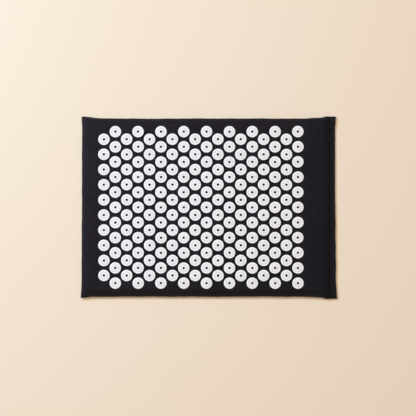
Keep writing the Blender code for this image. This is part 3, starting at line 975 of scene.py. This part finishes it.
def filaments(seed, down, low_z, high_z, box):
    """Small hooks that hang down, or loops that stand up, in staggered rows."""
    rng = np.random.default_rng(seed)
    low, high = box
    parts = Parts()
    columns = np.linspace(low.x + FILAMENT_MARGIN, high.x - FILAMENT_MARGIN, FILAMENT_COLUMNS)
    rows = spread(low.y + FILAMENT_MARGIN, high.y - FILAMENT_MARGIN, FILAMENT_PITCH)
    tall = high_z - low_z
    for number, row in enumerate(rows):
        stagger = FILAMENT_STAGGER if number % 2 else -FILAMENT_STAGGER
        for x in columns:
            place = np.array([x + stagger, row, 0.0])
            place[:2] += rng.uniform(-MOST_FILAMENT_SHIFT, MOST_FILAMENT_SHIFT, 2)
            angle = rng.normal(0, HOOK_TURN_SPREAD) if down else rng.uniform(0, math.pi)
            facing = np.array([math.sin(angle), math.cos(angle), 0.0])
            if down:
                bend = [(aside, high_z - share * tall) for aside, share in HOOK_BEND]
            else:
                size = tall * rng.uniform(*LOOP_HEIGHTS)
                bend = [(aside, low_z + share * size) for aside, share in LOOP_BEND]
            line = [place + facing * aside * MM + (0, 0, z) for aside, z in bend]
            radius = HOOK_RADIUS if down else LOOP_RADIUS
            parts.add(*tube(line, [radius] * len(line), 4, np.cross(facing, (0, 0, 1.0))))
    return parts


def build_tape(node, body, down, seed):
    """One tape: its ribbon, and the hooks or loops that face the other tape."""
    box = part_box(node)
    low_z, high_z = box[0].z, box[1].z
    name = node.replace("tape", "strip")
    if down:
        ribbon_zs = (high_z - RIBBON_THICKNESS, high_z)
        filament_zs = (low_z, high_z - RIBBON_THICKNESS + HOOK_ROOT)
    else:
        ribbon_zs = (low_z, low_z + RIBBON_THICKNESS)
        filament_zs = (low_z + RIBBON_THICKNESS - LOOP_ROOT, high_z)
    strip = ribbon(box, *ribbon_zs).piece(name, tape_material, 35)
    hairs = filaments(seed, down, *filament_zs, box).piece(node + "_hairs", filament_material, 60)
    piece = join(name, recalculated(strip), recalculated(hairs))
    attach(piece, body)
    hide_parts(node)


# Stitches

def stitches(name, path, material):
    """Single stitches along a fine path of points, each one diving into the cloth at both ends."""
    far = np.concatenate([[0.0], np.cumsum(np.linalg.norm(np.diff(path, axis=0), axis=1))])
    rng = np.random.default_rng(61)
    parts = Parts()
    for number in range(int(far[-1] / STITCH_PITCH)):
        start = (number + 0.1) * STITCH_PITCH
        places = start + STITCH_LENGTH * STITCH_SHARES * rng.uniform(*STITCH_STRETCH)
        line = np.stack([np.interp(places, far, path[:, axis]) for axis in range(3)], 1)
        line[:, 2] += STITCH_HEIGHTS
        line[:, :2] += rng.uniform(-MOST_STITCH_SHIFT, MOST_STITCH_SHIFT, 2)
        parts.add(*tube(line, STITCH_RADII, 6, (0, 0, 1.0)))
    return recalculated(parts.piece(name, material, 60))


def build_stitches():
    """The seam round three sides of the cover, and the line that closes the flap's hem."""
    xs = spread(LEFT_X + STITCH_INSET, SEAM_END_X, STITCH_PATH_STEP)
    near = path_at(xs, STITCH_INSET - half_width(xs, -1), UPPER_SEAM_Z)
    far = path_at(xs, half_width(xs, 1) - STITCH_INSET, UPPER_SEAM_Z)
    ys = spread(near[0, 1], far[0, 1], STITCH_PATH_STEP)[1:-1]
    left = path_at(LEFT_X + STITCH_INSET, ys, UPPER_SEAM_Z)
    seam = worn(np.concatenate([near[::-1], left, far]))
    piece = stitches("side_seam_stitches", seam, thread_material)
    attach(piece, "mat")
    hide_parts("seam_thread")

    ys = spread(-HEM_STITCHES_REACH, HEM_STITCHES_REACH, STITCH_PATH_STEP)
    hem = worn(path_at(HEM_STITCHES_X, ys, HEM_TOP_Z))
    piece = stitches("hem_stitches", hem, thread_material)
    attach(piece, "flap")
    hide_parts("hem_thread")


pad = build_foam()
cover, base = build_cover()
build_discs()
build_tape("hook_tape", "flap", down=True, seed=51)
build_tape("loop_tape", "mat", down=False, seed=52)
build_stitches()


# Floor, light and camera

def build_floor():
    """A plain cream floor, much larger than what any view shows."""
    shader = Shader("cream_floor", (0.83, 0.73, 0.59), 0.9)
    patches = shader.noise(shader.place(), scale=1.7, detail=2.0)
    shader.put(shader.surface, "Base Color", shader.blend(patches, FLOOR_DARK, FLOOR_LIGHT))
    shader.surface.inputs["Specular IOR Level"].default_value = 0.1
    mesh = bpy.data.meshes.new("floor")
    corners = [(x * FLOOR_REACH, y * FLOOR_REACH, FLOOR_Z) for x, y in ((-1, -1), (1, -1), (1, 1), (-1, 1))]
    mesh.from_pydata(corners, [], [(0, 1, 2, 3)])
    object_from("floor", mesh, shader.material)


def build_world():
    """A warm fill all round, which the camera, reflections and clear things see as the floor's cream."""
    world = bpy.data.worlds.new("studio")
    world.use_nodes = True
    bpy.context.scene.world = world
    tree = world.node_tree
    fill = tree.nodes["Background"]
    fill.inputs["Color"].default_value = (*WARM_LIGHT, 1.0)
    fill.inputs["Strength"].default_value = 0.15
    seen = tree.nodes.new("ShaderNodeBackground")
    seen.inputs["Color"].default_value = (*STUDIO_CREAM, 1.0)
    path = tree.nodes.new("ShaderNodeLightPath")
    share = path.outputs["Is Camera Ray"]
    for kind in ("Is Glossy Ray", "Is Transmission Ray"):
        either = tree.nodes.new("ShaderNodeMath")
        either.operation = "MAXIMUM"
        tree.links.new(share, either.inputs[0])
        tree.links.new(path.outputs[kind], either.inputs[1])
        share = either.outputs[0]
    mix = tree.nodes.new("ShaderNodeMixShader")
    tree.links.new(share, mix.inputs[0])
    tree.links.new(fill.outputs[0], mix.inputs[1])
    tree.links.new(seen.outputs[0], mix.inputs[2])
    tree.links.new(mix.outputs[0], tree.nodes["World Output"].inputs["Surface"])


def aim(thing, target):
    """Turns a lamp or camera towards this place."""
    thing.rotation_mode = "QUATERNION"
    thing.rotation_quaternion = (Vector(target) - thing.location).to_track_quat("-Z", "Y")


def add_light(name, place, size, energy, colour):
    """A round soft lamp that looks at the middle of the mat."""
    light = bpy.data.lights.new(name, "AREA")
    light.shape = "DISK"
    light.size = size
    light.energy = energy
    light.color = colour
    lamp = bpy.data.objects.new(name, light)
    bpy.context.scene.collection.objects.link(lamp)
    lamp.location = place
    aim(lamp, (0, 0, 0))


def build_lights():
    """A bluish key from the upper left, which throws the shadow, and a broad warm lamp high above."""
    add_light("key", (-1.95, 1.15, 2.25), size=0.7, energy=71.0, colour=BLUE_LIGHT)
    add_light("overhead", (-2.0, 2.0, 10.0), size=10.0, energy=895.0, colour=WARM_LIGHT)


def build_camera():
    """Straight above the mat, with a lens that shows FRAME_WIDTH at the height of the mat's middle."""
    data = bpy.data.cameras.new("camera")
    data.sensor_width = SENSOR_WIDTH
    data.lens = SENSOR_WIDTH * (CAMERA_HEIGHT - VIEWED_Z) / FRAME_WIDTH
    camera = bpy.data.objects.new("camera", data)
    bpy.context.scene.collection.objects.link(camera)
    camera.location = (CAMERA_X, CAMERA_Y, CAMERA_HEIGHT)
    data.clip_end = 100.0
    bpy.context.scene.camera = camera


build_floor()
build_world()
build_lights()
build_camera()
bpy.context.scene.view_settings.view_transform = "Standard"
